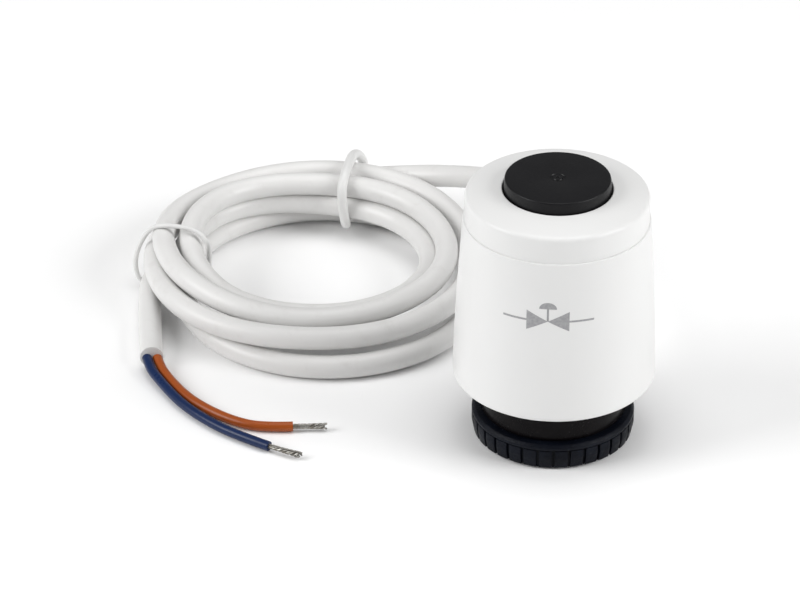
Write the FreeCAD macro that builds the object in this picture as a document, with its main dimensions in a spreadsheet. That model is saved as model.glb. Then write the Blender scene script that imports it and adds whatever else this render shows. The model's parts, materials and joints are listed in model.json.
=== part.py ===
"""Electro-thermal actuator head for a heating valve, with its coiled two-core cable.

Millimetres, +Z up.  The origin is on the head's axis, at the bottom face of the ring nut.
The head is normally closed: the main spring holds the plunger down on the valve's pin, and the
heated wax lifts the carrier, the plunger and the position indicator together.
"""
import FreeCAD, Part
import math
import os
import re
import Sketcher

Vector = FreeCAD.Vector

doc = FreeCAD.newDocument("ActuatorHead")
sheet = doc.addObject("Spreadsheet::Sheet", "Sizes")

# ---------------------------------------------------------------------------------------------
# Driving dimensions, in millimetres and counts.  A "z_" value is a height above the nut's face.
# ---------------------------------------------------------------------------------------------
SIZES = [
    # ring nut
    ("nut_radius", 17.75), ("nut_foot_radius", 16.6), ("nut_height", 6.2), ("nut_foot_height", 2.5),
    ("nut_shoulder_height", 3.0), ("nut_edge", 0.4), ("thread_radius", 14.19), ("thread_mouth_radius", 15.0),
    ("thread_start", 0.6), ("thread_end", 3.8), ("relief_radius", 14.7), ("lip_radius", 12.5),
    ("z_lip", 4.9), ("grip_count", 32), ("grip_gap", 0.75), ("grip_depth", 0.7),
    # base socket
    ("neck_radius", 12.4), ("neck_bore_radius", 9.6), ("z_shoulder", 6.5), ("skirt_radius", 16.0),
    ("skirt_wall", 1.6), ("z_pad_ceiling", 8.9), ("z_plate", 11.0), ("z_flange", 15.2),
    ("z_flange_top", 17.2), ("flange_radius", 20.2), ("notch_count", 6), ("notch_width", 1.2),
    ("notch_height", 3.0), ("notch_depth", 0.6), ("z_notch", 11.4), ("seal_pocket_radius", 5.8),
    ("seal_thickness", 1.4), ("groove_radius", 11.5), ("z_groove", 4.0), ("groove_width", 0.85),
    ("ring_thickness", 0.75), ("ring_radius", 13.8), ("ring_gap", 4.0), ("ring_play", 0.05),
    # housing shell and top cap
    ("z_shell", 14.75), ("shell_radius", 22.0), ("shell_edge", 1.1), ("shell_top_radius", 20.15),
    ("z_cap", 52.94), ("wall", 1.65), ("socket_radius", 20.35), ("z_ledge", 18.0), ("z_ledge_top", 20.0),
    ("ledge_radius", 18.9), ("cap_radius", 19.95), ("cap_shoulder_radius", 19.83), ("z_cap_shoulder", 58.96),
    ("cap_edge", 0.7), ("cap_opening_radius", 11.85), ("z_cap_top", 60.2), ("cap_guide_wall", 1.5),
    ("z_cap_guide", 54.5), ("cap_wall", 1.8), ("spigot_radius", 18.35), ("spigot_wall", 1.4), ("z_spigot", 51.2),
    # spring, its retainer and the lifting cage
    ("retainer_thickness", 1.2), ("retainer_bore_radius", 14.8), ("spring_radius", 15.9), ("spring_wire", 1.9),
    ("spring_turns", 5.5), ("spring_gap", 0.05), ("cage_radius", 14.2), ("cage_wall", 1.2),
    ("cage_flange_radius", 17.0), ("z_cage", 28.0), ("cage_flange", 2.0), ("z_cage_roof", 46.0),
    ("cage_roof", 2.5), ("leg_width", 4.8), ("leg_thickness", 1.4), ("leg_inset", 12.5), ("leg_count", 3),
    ("z_yoke", 11.4), ("yoke_thickness", 1.8), ("yoke_radius", 6.5), ("yoke_arm_width", 4.0),
    ("pad_radius", 9.0), ("z_pad", 4.1), ("pad_thickness", 1.5), ("stem_radius", 4.0), ("stem_clearance", 0.06),
    ("button_radius", 3.5), ("button_thickness", 1.5), ("button_sink", 1.0), ("button_play", 0.05),
    # position indicator
    ("indicator_radius", 11.5), ("indicator_top_radius", 11.35), ("z_indicator_taper", 60.25),
    ("z_indicator_top", 62.7), ("indicator_edge", 0.3), ("indicator_wall", 1.5), ("indicator_roof", 2.0),
    ("z_indicator_skirt", 54.0), ("dimple_radius", 0.9), ("dimple_depth", 0.35),
    # wax element, heater and holder
    ("holder_radius", 9.8), ("holder_floor", 2.0), ("heater_pocket_radius", 7.0), ("z_cup", 22.7),
    ("z_holder_top", 25.5), ("holder_collar_radius", 8.1), ("arm_width", 5.0), ("arm_reach", 18.6),
    ("arm_inset", 9.0), ("tab_slot_width", 11.0), ("plate_radius", 6.0), ("plate_thickness", 0.5),
    ("heater_radius", 6.5), ("tab_width", 2.0), ("tab_offset", 3.2), ("tab_reach", 15.2), ("cup_radius", 8.0),
    ("cup_wall", 1.2), ("z_cup_top", 38.0), ("cup_floor", 1.3), ("diaphragm_thickness", 1.0), ("guide_flange", 2.0),
    ("guide_radius", 4.2), ("z_guide_top", 42.0), ("piston_radius", 1.75), ("piston_clearance", 0.05),
    # terminals, grommet and cable
    ("block_width", 13.0), ("block_depth", 2.1), ("block_height", 6.0), ("terminal_width", 2.6),
    ("terminal_depth", 1.2), ("terminal_rise", 0.4), ("terminal_pitch", 5.2), ("inner_wire_radius", 0.6),
    ("z_exit", 25.0), ("cable_diameter", 5.2), ("core_diameter", 2.2), ("strand_diameter", 1.2),
    ("grommet_flange_radius", 4.8), ("grommet_flange_start", 17.7), ("grommet_flange_end", 19.1),
    ("grommet_neck_radius", 3.9), ("grommet_hole_radius", 4.0), ("boot_start", 22.0), ("boot_radius", 4.9),
    ("boot_tip_radius", 3.4), ("boot_end", 42.0),
    ("boot_groove_count", 4), ("boot_groove_width", 1.4), ("boot_groove_depth", 0.7), ("boot_groove_pitch", 3.6),
    # coil of cable and its ties
    ("coil_x", -56.5), ("coil_y", 56.0), ("coil_inner_radius", 24.4), ("coil_outer_radius", 41.4),
    ("coil_height", 15.4), ("coil_corner", 3.0), ("coil_top_inner_radius", 25.6), ("coil_top_outer_radius", 35.4),
    ("thick_tie", 2.3), ("thin_tie", 1.1),
]

for row, (alias, value) in enumerate(SIZES, start=1):
    sheet.set("A%d" % row, alias)
    sheet.set("B%d" % row, str(value))
    sheet.setAlias("B%d" % row, alias)
doc.recompute()

pieces = []


def size(alias):
    """The plain value of one spreadsheet cell."""
    return float(sheet.get(alias))


# ---------------------------------------------------------------------------------------------
# Ways of making a piece
# ---------------------------------------------------------------------------------------------
def new_body(name):
    body = doc.addObject("PartDesign::Body", name)
    body.Label = name
    pieces.append(body)
    return body


def origin_feature(body, role):
    return [feature for feature in body.Origin.OriginFeatures if feature.Role == role][0]


def bound_outline(body, name, corners):
    """A closed sketch in the body's XZ plane; each corner is a pair of sheet expressions.

    The pair is (distance from the axis, height), and "0" pins the corner to that axis.
    """
    sketch = body.newObject("Sketcher::SketchObject", name)
    sketch.AttachmentSupport = [(origin_feature(body, "XZ_Plane"), "")]
    sketch.MapMode = "FlatFace"
    last = len(corners) - 1
    start_points = [Vector(10.0 * math.cos(6.28 * index / len(corners)) + 20.0,
                           10.0 * math.sin(6.28 * index / len(corners)) + 20.0, 0.0)
                    for index in range(len(corners))]
    for index in range(len(corners)):
        following = 0 if index == last else index + 1
        sketch.addGeometry(Part.LineSegment(start_points[index], start_points[following]), False)
    for index in range(len(corners)):
        following = 0 if index == last else index + 1
        sketch.addConstraint(Sketcher.Constraint("Coincident", index, 2, following, 1))
    for index, (across, up) in enumerate(corners):
        for expression, kind, axis_line, value in ((across, "DistanceX", -2, start_points[index].x),
                                                   (up, "DistanceY", -1, start_points[index].y)):
            if expression == "0":
                sketch.addConstraint(Sketcher.Constraint("PointOnObject", index, 1, axis_line))
            else:
                number = sketch.addConstraint(Sketcher.Constraint(kind, -1, 1, index, 1, value))
                sketch.setExpression("Constraints[%d]" % number, expression)
    return sketch


def turned(name, corners):
    """A piece turned about its own Z axis from a closed outline of bound corners."""
    body = new_body(name)
    sketch = bound_outline(body, name + "_outline", named(corners))
    spin = body.newObject("PartDesign::Revolution", name + "_turned")
    spin.Profile = (sketch, [""])
    spin.ReferenceAxis = (sketch, ["V_Axis"])
    spin.Angle = 360.0
    sketch.Visibility = False
    doc.recompute()
    return body


def named(corners):
    """Corners written with bare aliases, turned into expressions on the sheet."""
    return [(with_sheet(across), with_sheet(up)) for across, up in corners]


def with_sheet(expression):
    """Put the sheet's name before each alias in an expression."""
    return re.sub(r"([a-z][a-z_]*)", r"Sizes.\1", expression)


def box_feature(body, kind, name, lengths, place):
    """An added or cut block; lengths and place are three sheet expressions each."""
    block = body.newObject("PartDesign::" + kind, name)
    for side, expression in zip(("Length", "Width", "Height"), lengths):
        block.setExpression(side, with_sheet(expression))
    for axis, expression in zip("xyz", place):
        block.setExpression("Placement.Base." + axis, with_sheet(expression))
    doc.recompute()
    body.Tip = block
    return block


def around(body, feature, count):
    """Repeat the last feature evenly about the body's Z axis."""
    pattern = body.newObject("PartDesign::PolarPattern", feature.Name + "_ring")
    pattern.Originals = [feature]
    pattern.Axis = (origin_feature(body, "Z_Axis"), [""])
    pattern.Angle = 360.0
    pattern.setExpression("Occurrences", with_sheet(count))
    body.Tip = pattern
    doc.recompute()
    return pattern


def block_piece(name, lengths, place):
    """A plain rectangular piece."""
    block = doc.addObject("Part::Box", name)
    block.Label = name
    for side, expression in zip(("Length", "Width", "Height"), lengths):
        block.setExpression(side, with_sheet(expression))
    for axis, expression in zip("xyz", place):
        block.setExpression("Placement.Base." + axis, with_sheet(expression))
    pieces.append(block)
    return block


def run_and_arc_path(points):
    """Straight runs joined by tangent arcs, each arc as large as its two runs allow."""
    edges = []
    radii = []
    here = points[0]
    for before, corner, after in zip(points, points[1:], points[2:]):
        way_in = (corner - before).normalize()
        way_out = (after - corner).normalize()
        half_turn = way_in.getAngle(way_out) / 2.0
        reach = 0.45 * min(before.distanceToPoint(corner), corner.distanceToPoint(after))
        radius = reach / math.tan(half_turn)
        arc_start = corner - way_in * reach
        arc_end = corner + way_out * reach
        inward = (way_out - way_in).normalize()
        arc_middle = corner + inward * (radius / math.cos(half_turn) - radius)
        edges.append(Part.LineSegment(here, arc_start).toShape())
        edges.append(Part.Arc(arc_start, arc_middle, arc_end).toShape())
        radii.append(radius)
        here = arc_end
    edges.append(Part.LineSegment(here, points[-1]).toShape())
    return Part.Wire(edges), radii


def tube(name, route, diameter):
    """A round tube along a route of hand-chosen points; prints its radii, length and volume."""
    points = [Vector(*point) for point in route]
    if len(points) == 2:
        path = Part.Wire([Part.LineSegment(points[0], points[1]).toShape()])
        radii = []
    else:
        path, radii = run_and_arc_path(points)
    section = Part.Wire([Part.Circle(points[0], points[1] - points[0], diameter / 2.0).toShape()])
    piece = doc.addObject("Part::Feature", name)
    piece.Label = name
    piece.Shape = path.makePipeShell([section], True, False)
    pieces.append(piece)
    expected = math.pi * diameter ** 2 / 4.0 * path.Length
    print("%-16s length %7.2f  radii %s  volume %.1f of %.1f"
          % (name, path.Length, [round(radius, 1) for radius in radii], piece.Shape.Volume, expected))
    return piece


# ---------------------------------------------------------------------------------------------
# Ring nut: screws the head to the valve's neck and turns freely on the base socket
# ---------------------------------------------------------------------------------------------
def make_ring_nut():
    body = turned("ring_nut", [
        ("thread_mouth_radius", "0"),
        ("nut_foot_radius - nut_edge", "0"),
        ("nut_foot_radius", "nut_edge"),
        ("nut_foot_radius", "nut_foot_height"),
        ("nut_radius", "nut_shoulder_height"),
        ("nut_radius", "nut_height - nut_edge"),
        ("nut_radius - nut_edge", "nut_height"),
        ("lip_radius", "nut_height"),
        ("lip_radius", "z_lip"),
        ("relief_radius", "z_lip"),
        ("relief_radius", "thread_end"),
        ("thread_radius", "thread_end"),
        ("thread_radius", "thread_start"),
    ])
    gap = box_feature(body, "SubtractiveBox", "grip_gap",
                      ("grip_gap", "grip_depth + 1", "nut_height + 2"),
                      ("grip_gap * -0.5", "nut_radius - grip_depth", "-1"))
    around(body, gap, "grip_count")


# ---------------------------------------------------------------------------------------------
# Base socket: carries the nut on its neck and guides the plunger
# ---------------------------------------------------------------------------------------------
def make_base_socket():
    body = turned("base_socket", [
        ("neck_bore_radius", "z_groove - 0.2"),
        ("neck_radius", "z_groove - 0.2"),
        ("neck_radius", "z_groove"),
        ("groove_radius", "z_groove"),
        ("groove_radius", "z_groove + groove_width"),
        ("neck_radius", "z_groove + groove_width"),
        ("neck_radius", "z_shoulder"),
        ("skirt_radius", "z_shoulder"),
        ("skirt_radius", "z_flange"),
        ("flange_radius", "z_flange"),
        ("flange_radius", "z_flange_top"),
        ("skirt_radius - skirt_wall", "z_flange_top"),
        ("skirt_radius - skirt_wall", "z_plate"),
        ("seal_pocket_radius", "z_plate"),
        ("seal_pocket_radius", "z_plate - seal_thickness"),
        ("stem_radius + stem_clearance", "z_plate - seal_thickness"),
        ("stem_radius + stem_clearance", "z_pad_ceiling"),
        ("neck_bore_radius", "z_pad_ceiling"),
    ])
    notch = box_feature(body, "SubtractiveBox", "snap_notch",
                        ("notch_depth + 1", "notch_width", "notch_height"),
                        ("skirt_radius - notch_depth", "notch_width * -0.5", "z_notch"))
    around(body, notch, "notch_count")


def make_nut_retaining_ring():
    """Split ring that snaps into the neck's groove under the nut's lip."""
    body = turned("nut_retaining_ring", [
        ("groove_radius + ring_play", "z_groove + ring_play"),
        ("ring_radius", "z_groove + ring_play"),
        ("ring_radius", "z_groove + ring_play + ring_thickness"),
        ("groove_radius + ring_play", "z_groove + ring_play + ring_thickness"),
    ])
    box_feature(body, "SubtractiveBox", "ring_split",
                ("ring_radius", "ring_gap", "4"), ("0", "ring_gap * -0.5", "z_groove - 1"))


def make_plunger_seal():
    turned("plunger_seal", [
        ("stem_radius + stem_clearance", "z_plate - seal_thickness"),
        ("seal_pocket_radius", "z_plate - seal_thickness"),
        ("seal_pocket_radius", "z_plate"),
        ("stem_radius + stem_clearance", "z_plate"),
    ])


# ---------------------------------------------------------------------------------------------
# Housing shell, its seal and the top cap
# ---------------------------------------------------------------------------------------------
def make_housing_shell():
    body = turned("housing_shell", [
        ("socket_radius", "z_shell"),
        ("shell_radius - shell_edge", "z_shell"),
        ("shell_radius - shell_edge * 0.3", "z_shell + shell_edge * 0.3"),
        ("shell_radius", "z_shell + shell_edge"),
        ("shell_top_radius", "z_cap"),
        ("shell_top_radius - wall", "z_cap"),
        ("shell_radius - wall - 0.35", "z_ledge_top + 1"),
        ("ledge_radius", "z_ledge_top"),
        ("ledge_radius", "z_ledge"),
        ("socket_radius", "z_ledge"),
    ])
    hole = body.newObject("PartDesign::SubtractiveCylinder", "cable_hole")
    hole.Placement = FreeCAD.Placement(Vector(), FreeCAD.Rotation(Vector(1, 0, 0), -90))
    hole.setExpression("Radius", "Sizes.grommet_hole_radius")
    hole.setExpression("Height", "Sizes.shell_radius + 5")
    hole.setExpression("Placement.Base.z", "Sizes.z_exit")
    body.Tip = hole
    doc.recompute()


def make_base_seal():
    turned("base_seal", [
        ("ledge_radius + 0.1", "z_flange_top"),
        ("flange_radius", "z_flange_top"),
        ("flange_radius", "z_ledge"),
        ("ledge_radius + 0.1", "z_ledge"),
    ])


def make_top_cap():
    turned("top_cap", [
        ("cap_opening_radius", "z_cap_guide"),
        ("cap_opening_radius", "z_cap_top"),
        ("cap_shoulder_radius - cap_edge", "z_cap_shoulder + 0.1"),
        ("cap_shoulder_radius", "z_cap_shoulder - cap_edge"),
        ("cap_radius", "z_cap"),
        ("spigot_radius", "z_cap"),
        ("spigot_radius", "z_spigot"),
        ("spigot_radius - spigot_wall", "z_spigot"),
        ("spigot_radius - spigot_wall", "z_cap_shoulder - cap_wall"),
        ("cap_opening_radius + cap_guide_wall", "z_cap_top - cap_wall - 0.3"),
        ("cap_opening_radius + cap_guide_wall", "z_cap_guide"),
    ])


# ---------------------------------------------------------------------------------------------
# Main spring and the steel ring that it pushes against
# ---------------------------------------------------------------------------------------------
def make_spring_retainer():
    turned("spring_retainer", [
        ("retainer_bore_radius", "z_spigot - retainer_thickness"),
        ("spigot_radius", "z_spigot - retainer_thickness"),
        ("spigot_radius", "z_spigot"),
        ("retainer_bore_radius", "z_spigot"),
    ])


def make_main_spring():
    height = ("(Sizes.z_spigot - Sizes.retainer_thickness - Sizes.z_cage - Sizes.cage_flange"
              " - Sizes.spring_wire - 2 * Sizes.spring_gap)")
    coil = doc.addObject("Part::Helix", "main_spring_line")
    coil.setExpression("Height", height)
    coil.setExpression("Pitch", height + " / Sizes.spring_turns")
    coil.setExpression("Radius", "Sizes.spring_radius")
    wire = doc.addObject("Part::Circle", "main_spring_wire")
    wire.setExpression("Radius", "Sizes.spring_wire / 2")
    wire.Placement.Rotation = FreeCAD.Rotation(Vector(1, 0, 0), 90)
    wire.setExpression("Placement.Base.x", "Sizes.spring_radius")
    spring = doc.addObject("Part::Sweep", "main_spring")
    spring.Label = "main_spring"
    spring.Sections = [wire]
    spring.Spine = (coil, ["Edge1"])
    spring.Solid = True
    spring.Frenet = True
    spring.setExpression("Placement.Base.z",
                         "Sizes.z_cage + Sizes.cage_flange + Sizes.spring_wire / 2 + Sizes.spring_gap")
    pieces.append(spring)


# ---------------------------------------------------------------------------------------------
# Lifting pieces: cage, yoke, plunger, thrust button, indicator and piston
# ---------------------------------------------------------------------------------------------
def make_lift_cage():
    """Inverted cup over the wax element, with a spring flange and three legs."""
    body = turned("lift_cage", [
        ("cage_radius - cage_wall", "z_cage"),
        ("cage_flange_radius", "z_cage"),
        ("cage_flange_radius", "z_cage + cage_flange"),
        ("cage_radius", "z_cage + cage_flange"),
        ("cage_radius", "z_cage_roof + cage_roof"),
        ("0", "z_cage_roof + cage_roof"),
        ("0", "z_cage_roof + button_sink"),
        ("button_radius", "z_cage_roof + button_sink"),
        ("button_radius", "z_cage_roof"),
        ("cage_radius - cage_wall", "z_cage_roof"),
    ])
    leg = box_feature(body, "AdditiveBox", "cage_leg",
                      ("leg_width", "leg_thickness", "z_cage - z_yoke + 1"),
                      ("leg_width * -0.5", "leg_inset", "z_yoke"))
    around(body, leg, "leg_count")


def make_lower_yoke():
    """Three-armed plate that ties the cage's legs to the plunger's stem."""
    body = turned("lower_yoke", [
        ("stem_radius", "z_yoke"),
        ("yoke_radius", "z_yoke"),
        ("yoke_radius", "z_yoke + yoke_thickness"),
        ("stem_radius", "z_yoke + yoke_thickness"),
    ])
    arm = box_feature(body, "AdditiveBox", "yoke_arm",
                      ("yoke_arm_width", "leg_inset - 5", "yoke_thickness"),
                      ("yoke_arm_width * -0.5", "5", "z_yoke"))
    around(body, arm, "leg_count")


def make_plunger():
    turned("plunger", [
        ("0", "z_pad"),
        ("pad_radius", "z_pad"),
        ("pad_radius", "z_pad + pad_thickness"),
        ("stem_radius", "z_pad + pad_thickness"),
        ("stem_radius", "z_yoke + yoke_thickness"),
        ("0", "z_yoke + yoke_thickness"),
    ])


def make_thrust_button():
    turned("thrust_button", [
        ("0", "z_cage_roof + button_sink - button_thickness"),
        ("button_radius - button_play", "z_cage_roof + button_sink - button_thickness"),
        ("button_radius - button_play", "z_cage_roof + button_sink"),
        ("0", "z_cage_roof + button_sink"),
    ])


def make_position_indicator():
    turned("position_indicator", [
        ("0", "z_cage_roof + cage_roof"),
        ("stem_radius", "z_cage_roof + cage_roof"),
        ("stem_radius", "z_indicator_top - indicator_roof"),
        ("indicator_radius - indicator_wall", "z_indicator_top - indicator_roof"),
        ("indicator_radius - indicator_wall", "z_indicator_skirt"),
        ("indicator_radius", "z_indicator_skirt"),
        ("indicator_radius", "z_indicator_taper"),
        ("indicator_top_radius", "z_indicator_top - indicator_edge"),
        ("indicator_top_radius - indicator_edge", "z_indicator_top"),
        ("dimple_radius", "z_indicator_top"),
        ("0", "z_indicator_top - dimple_depth"),
    ])


def make_wax_piston():
    turned("wax_piston", [
        ("0", "z_cup_top - guide_flange"),
        ("piston_radius", "z_cup_top - guide_flange"),
        ("piston_radius", "z_cage_roof + button_sink - button_thickness"),
        ("0", "z_cage_roof + button_sink - button_thickness"),
    ])


# ---------------------------------------------------------------------------------------------
# Wax element: holder, contacts, heater, cup, wax, diaphragm and piston guide
# ---------------------------------------------------------------------------------------------
def make_element_holder():
    body = turned("element_holder", [
        ("0", "z_flange_top"),
        ("holder_radius", "z_flange_top"),
        ("holder_radius", "z_holder_top"),
        ("holder_collar_radius", "z_holder_top"),
        ("holder_collar_radius", "z_cup"),
        ("heater_pocket_radius", "z_cup"),
        ("heater_pocket_radius", "z_flange_top + holder_floor"),
        ("0", "z_flange_top + holder_floor"),
    ])
    arm = box_feature(body, "AdditiveBox", "holder_arm",
                      ("arm_width", "arm_reach - arm_inset", "holder_floor"),
                      ("arm_width * -0.5", "arm_reach * -1", "z_flange_top"))
    around(body, arm, "leg_count")
    box_feature(body, "SubtractiveBox", "tab_slot",
                ("tab_slot_width", "holder_radius", "z_cup - z_flange_top - holder_floor + 0.2"),
                ("tab_slot_width * -0.5", "heater_pocket_radius - 3", "z_flange_top + holder_floor"))


def make_contact_plate(name, height, tab_x):
    """Thin brass disc on one face of the heater, with a tab to its terminal."""
    body = turned(name, [
        ("0", height),
        ("plate_radius", height),
        ("plate_radius", height + " + plate_thickness"),
        ("0", height + " + plate_thickness"),
    ])
    box_feature(body, "AdditiveBox", name + "_tab",
                ("tab_width", "tab_reach - 2", "plate_thickness"), (tab_x, "2", height))


def make_heater_disc():
    turned("heater_disc", [
        ("0", "z_flange_top + holder_floor + plate_thickness"),
        ("heater_radius", "z_flange_top + holder_floor + plate_thickness"),
        ("heater_radius", "z_cup - plate_thickness"),
        ("0", "z_cup - plate_thickness"),
    ])


def make_wax_cup():
    turned("wax_cup", [
        ("0", "z_cup"),
        ("cup_radius", "z_cup"),
        ("cup_radius", "z_cup_top"),
        ("cup_radius - cup_wall", "z_cup_top"),
        ("cup_radius - cup_wall", "z_cup + cup_floor"),
        ("0", "z_cup + cup_floor"),
    ])


def make_wax_charge():
    turned("wax_charge", [
        ("0", "z_cup + cup_floor"),
        ("cup_radius - cup_wall", "z_cup + cup_floor"),
        ("cup_radius - cup_wall", "z_cup_top - guide_flange - diaphragm_thickness"),
        ("0", "z_cup_top - guide_flange - diaphragm_thickness"),
    ])


def make_diaphragm():
    turned("diaphragm", [
        ("0", "z_cup_top - guide_flange - diaphragm_thickness"),
        ("cup_radius - cup_wall", "z_cup_top - guide_flange - diaphragm_thickness"),
        ("cup_radius - cup_wall", "z_cup_top - guide_flange"),
        ("0", "z_cup_top - guide_flange"),
    ])


def make_piston_guide():
    turned("piston_guide", [
        ("piston_radius + piston_clearance", "z_cup_top - guide_flange"),
        ("cup_radius - cup_wall", "z_cup_top - guide_flange"),
        ("cup_radius - cup_wall", "z_cup_top"),
        ("guide_radius", "z_cup_top"),
        ("guide_radius", "z_guide_top"),
        ("piston_radius + piston_clearance", "z_guide_top"),
    ])


# ---------------------------------------------------------------------------------------------
# Terminals, inner wires and the cable's strain relief
# ---------------------------------------------------------------------------------------------
def make_terminals():
    block_piece("terminal_block", ("block_width", "block_depth", "block_height"),
                ("block_width * -0.5", "tab_reach", "z_flange_top"))
    for name, side in (("terminal_live", 0.5), ("terminal_neutral", -0.5)):
        block_piece(name, ("terminal_width", "terminal_depth", "terminal_rise"),
                    ("terminal_pitch * %s - terminal_width * 0.5" % side,
                     "tab_reach + block_depth * 0.5 - terminal_depth * 0.5",
                     "z_flange_top + block_height"))


def make_inner_wires():
    """Short ends of the two cores, from the cable's inner end down to the terminals."""
    core_x = 0.55 * size("core_diameter")
    terminal_x = size("terminal_pitch") / 2.0
    terminal_y = size("tab_reach") + size("block_depth") / 2.0
    terminal_z = size("z_flange_top") + size("block_height") + size("terminal_rise")
    for name, side in (("inner_wire_brown", 1.0), ("inner_wire_blue", -1.0)):
        route = [
            (side * core_x, size("grommet_flange_start"), size("z_exit")),
            (side * (core_x + 0.5), terminal_y, size("z_exit") + 0.3),
            (side * terminal_x, terminal_y - 0.05, terminal_z),
        ]
        tube(name, route, 2.0 * size("inner_wire_radius"))


def make_cable_grommet():
    """Moulded strain relief: a flange inside the wall and a ribbed, tapered boot outside."""
    slope = "(boot_radius - boot_tip_radius) / (boot_end - boot_start)"
    corners = [
        ("cable_diameter * 0.5", "grommet_flange_start"),
        ("grommet_flange_radius", "grommet_flange_start"),
        ("grommet_flange_radius", "grommet_flange_end"),
        ("grommet_neck_radius", "grommet_flange_end"),
        ("grommet_neck_radius", "boot_start"),
        ("boot_radius", "boot_start"),
    ]
    for groove in range(int(size("boot_groove_count"))):
        near = "boot_groove_pitch * %d" % (groove + 1)
        far = near + " + boot_groove_width"
        outer_near = "boot_radius - " + slope + " * ( " + near + " )"
        outer_far = "boot_radius - " + slope + " * ( " + far + " )"
        corners.append((outer_near, "boot_start + " + near))
        corners.append((outer_near + " - boot_groove_depth", "boot_start + " + near))
        corners.append((outer_far + " - boot_groove_depth", "boot_start + " + far))
        corners.append((outer_far, "boot_start + " + far))
    corners.append(("boot_tip_radius", "boot_end"))
    corners.append(("cable_diameter * 0.5", "boot_end"))
    body = turned("cable_grommet", corners)
    body.Placement = FreeCAD.Placement(Vector(), FreeCAD.Rotation(Vector(1, 0, 0), -90))
    body.setExpression("Placement.Base.z", "Sizes.z_exit")


# ---------------------------------------------------------------------------------------------
# Cable: lead to the coil, coil, tail, the two cores and their bare strands, and the ties
# ---------------------------------------------------------------------------------------------
LEAD_ROUTE = [(0, 17.7, 25), (0, 45, 25), (-7, 68, 23.5), (-22.5, 86, 15.5), (-41, 94.5, 9.5), (-60, 94.2, 7.6)]
TAIL_ROUTE = [(-91.6, 58, 2.6), (-92.3, 46, 2.6), (-91.6, 34, 2.6), (-90.1, 22.8, 2.6)]
BLUE_ROUTE = [(-91.3, 22.8, 2.6), (-90.2, 16.6, 1.9), (-87.0, 9.6, 1.2), (-80.6, 1.0, 1.2),
              (-71.4, -6.9, 1.2), (-61.6, -12.4, 1.2)]
BROWN_ROUTE = [(-88.9, 22.8, 2.6), (-87.6, 16.8, 1.9), (-84.0, 10.2, 1.2), (-78.0, 3.6, 1.2),
               (-70.0, -2.0, 1.2), (-62.6, -4.4, 1.2), (-56.7, -4.3, 1.2)]
BLUE_TIP = [(-61.6, -12.4, 1.2), (-54.3, -15.8, 1.2)]
BROWN_TIP = [(-56.7, -4.3, 1.2), (-49.3, -3.8, 1.2)]


def make_cable():
    tube("cable_lead", LEAD_ROUTE, size("cable_diameter"))
    tube("cable_tail", TAIL_ROUTE, size("cable_diameter"))
    tube("core_blue", BLUE_ROUTE, size("core_diameter"))
    tube("core_brown", BROWN_ROUTE, size("core_diameter"))
    tube("strands_blue", BLUE_TIP, size("strand_diameter"))
    tube("strands_brown", BROWN_TIP, size("strand_diameter"))


def make_cable_coil():
    """Outer shape of the bundle of turns, as one closed ring lying on the surface."""
    body = turned("cable_coil", [
        ("coil_inner_radius + coil_corner", "0"),
        ("coil_outer_radius - 1", "0"),
        ("coil_outer_radius", "1"),
        ("coil_outer_radius", "coil_corner * 1.6"),
        ("coil_outer_radius - 0.8", "coil_height * 0.55"),
        ("coil_top_outer_radius + 1.4", "coil_height - 1.6"),
        ("coil_top_outer_radius", "coil_height"),
        ("coil_top_inner_radius", "coil_height"),
        ("coil_inner_radius", "coil_height - 1.4"),
        ("coil_inner_radius", "coil_corner * 1.6"),
    ])
    body.setExpression("Placement.Base.x", "Sizes.coil_x")
    body.setExpression("Placement.Base.y", "Sizes.coil_y")


def make_coil_tie(name, wire, turn_degrees):
    """Hand-bent tie arched over the bundle of turns, in a plane through the coil's axis."""
    half = wire / 2.0
    inner = size("coil_inner_radius") - half
    outer = size("coil_outer_radius") + half
    top = size("coil_height") + half
    arch = [(outer + 0.3, half), (outer, 6.5), (outer - 3.0, 12.6), (outer - 8.0, top + 0.3), (inner + 2.5, top + 0.6),
            (inner - 0.2, 10.2), (inner + 0.4, 4.4), (inner + 2.4, half)]
    turn = math.radians(turn_degrees)
    route = [(size("coil_x") + reach * math.cos(turn), size("coil_y") + reach * math.sin(turn), up)
             for reach, up in arch]
    tube(name, route, wire)


make_ring_nut()
make_base_socket()
make_nut_retaining_ring()
make_plunger_seal()
make_housing_shell()
make_base_seal()
make_top_cap()
make_spring_retainer()
make_main_spring()
make_lift_cage()
make_lower_yoke()
make_plunger()
make_thrust_button()
make_position_indicator()
make_wax_piston()
make_element_holder()
make_contact_plate("contact_plate_lower", "z_flange_top + holder_floor", "tab_width * -1 - tab_offset")
make_contact_plate("contact_plate_upper", "z_cup - plate_thickness", "tab_offset")
make_heater_disc()
make_wax_cup()
make_wax_charge()
make_diaphragm()
make_piston_guide()
make_terminals()
make_inner_wires()
make_cable_grommet()
make_cable()
make_cable_coil()
make_coil_tie("coil_tie_right", size("thick_tie"), 79.0)
make_coil_tie("coil_tie_left", size("thin_tie"), 172.0)
doc.recompute()

# ---------------------------------------------------------------------------------------------
# Check every object, then write one STEP file per piece
# ---------------------------------------------------------------------------------------------
for item in doc.Objects:
    if "Invalid" in item.State or "Error" in item.State:
        raise RuntimeError("%s failed: %s" % (item.Label, item.State))
for piece in pieces:
    if piece.Shape.isNull() or not piece.Shape.isValid() or not piece.Shape.Solids:
        raise RuntimeError("%s has no valid solid" % piece.Label)

os.makedirs("parts", exist_ok=True)
for piece in pieces:
    box = piece.Shape.BoundBox
    print("%-20s volume %9.1f  x %7.2f %7.2f  y %7.2f %7.2f  z %6.2f %6.2f"
          % (piece.Label, piece.Shape.Volume, box.XMin, box.XMax, box.YMin, box.YMax, box.ZMin, box.ZMax))
    piece.Shape.exportStep("parts/%s.step" % piece.Label)
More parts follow.
